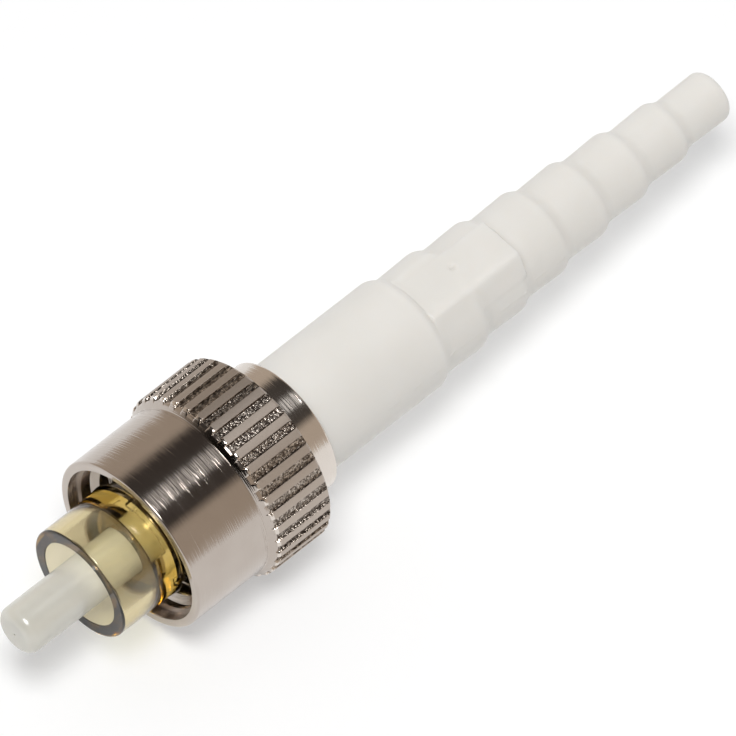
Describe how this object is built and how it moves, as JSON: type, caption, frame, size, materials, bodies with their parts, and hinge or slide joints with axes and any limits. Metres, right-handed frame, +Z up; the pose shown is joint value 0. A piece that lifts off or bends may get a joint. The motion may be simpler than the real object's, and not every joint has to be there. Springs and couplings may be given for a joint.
{
  "type": "fc fibre connector",
  "caption": "Fibre-optic plug: sprung ceramic ferrule in a clear keyed frame, captive knurled coupling nut and a stepped strain-relief boot.",
  "frame": {"origin": "centre of the plug frame's front face, on the ferrule's axis", "axes": "+X along the axis from the plug frame's front back to the boot's cable end, +Z up with the key at -Z"},
  "size_m": [0.0448, 0.01, 0.01],
  "materials": {
    "zirconia": "polished",
    "nickel_plated_brass": "satin",
    "spring_steel": "satin",
    "amber_polymer": "gloss",
    "white_elastomer": "matte"
  },
  "bodies": {
    "plug_body": {"plug_frame": "amber_polymer", "stop_body": "nickel_plated_brass", "boot": "white_elastomer", "ferrule_spring": "spring_steel"},
    "ferrule_group": {"ferrule": "zirconia", "ferrule_flange": "nickel_plated_brass"},
    "nut_ring": {"retaining_ring": "spring_steel"},
    "nut": {"coupling_nut": "nickel_plated_brass"}
  },
  "joints": [
    {"name": "ferrule_float", "type": "slide", "parent": "plug_body", "child": "ferrule_group", "axis": [1, 0, 0], "range_m": [0, 0.0012], "stiffness_N_per_m": 2500, "deforming": ["ferrule_spring"]},
    {"name": "nut_slide", "type": "slide", "parent": "plug_body", "child": "nut_ring", "axis": [-1, 0, 0], "range_m": [0, 0.00315]},
    {"name": "nut_spin", "type": "hinge", "parent": "nut_ring", "child": "nut", "pos_m": [0.0106, 0, 0], "axis": [1, 0, 0], "continuous": true}
  ]
}
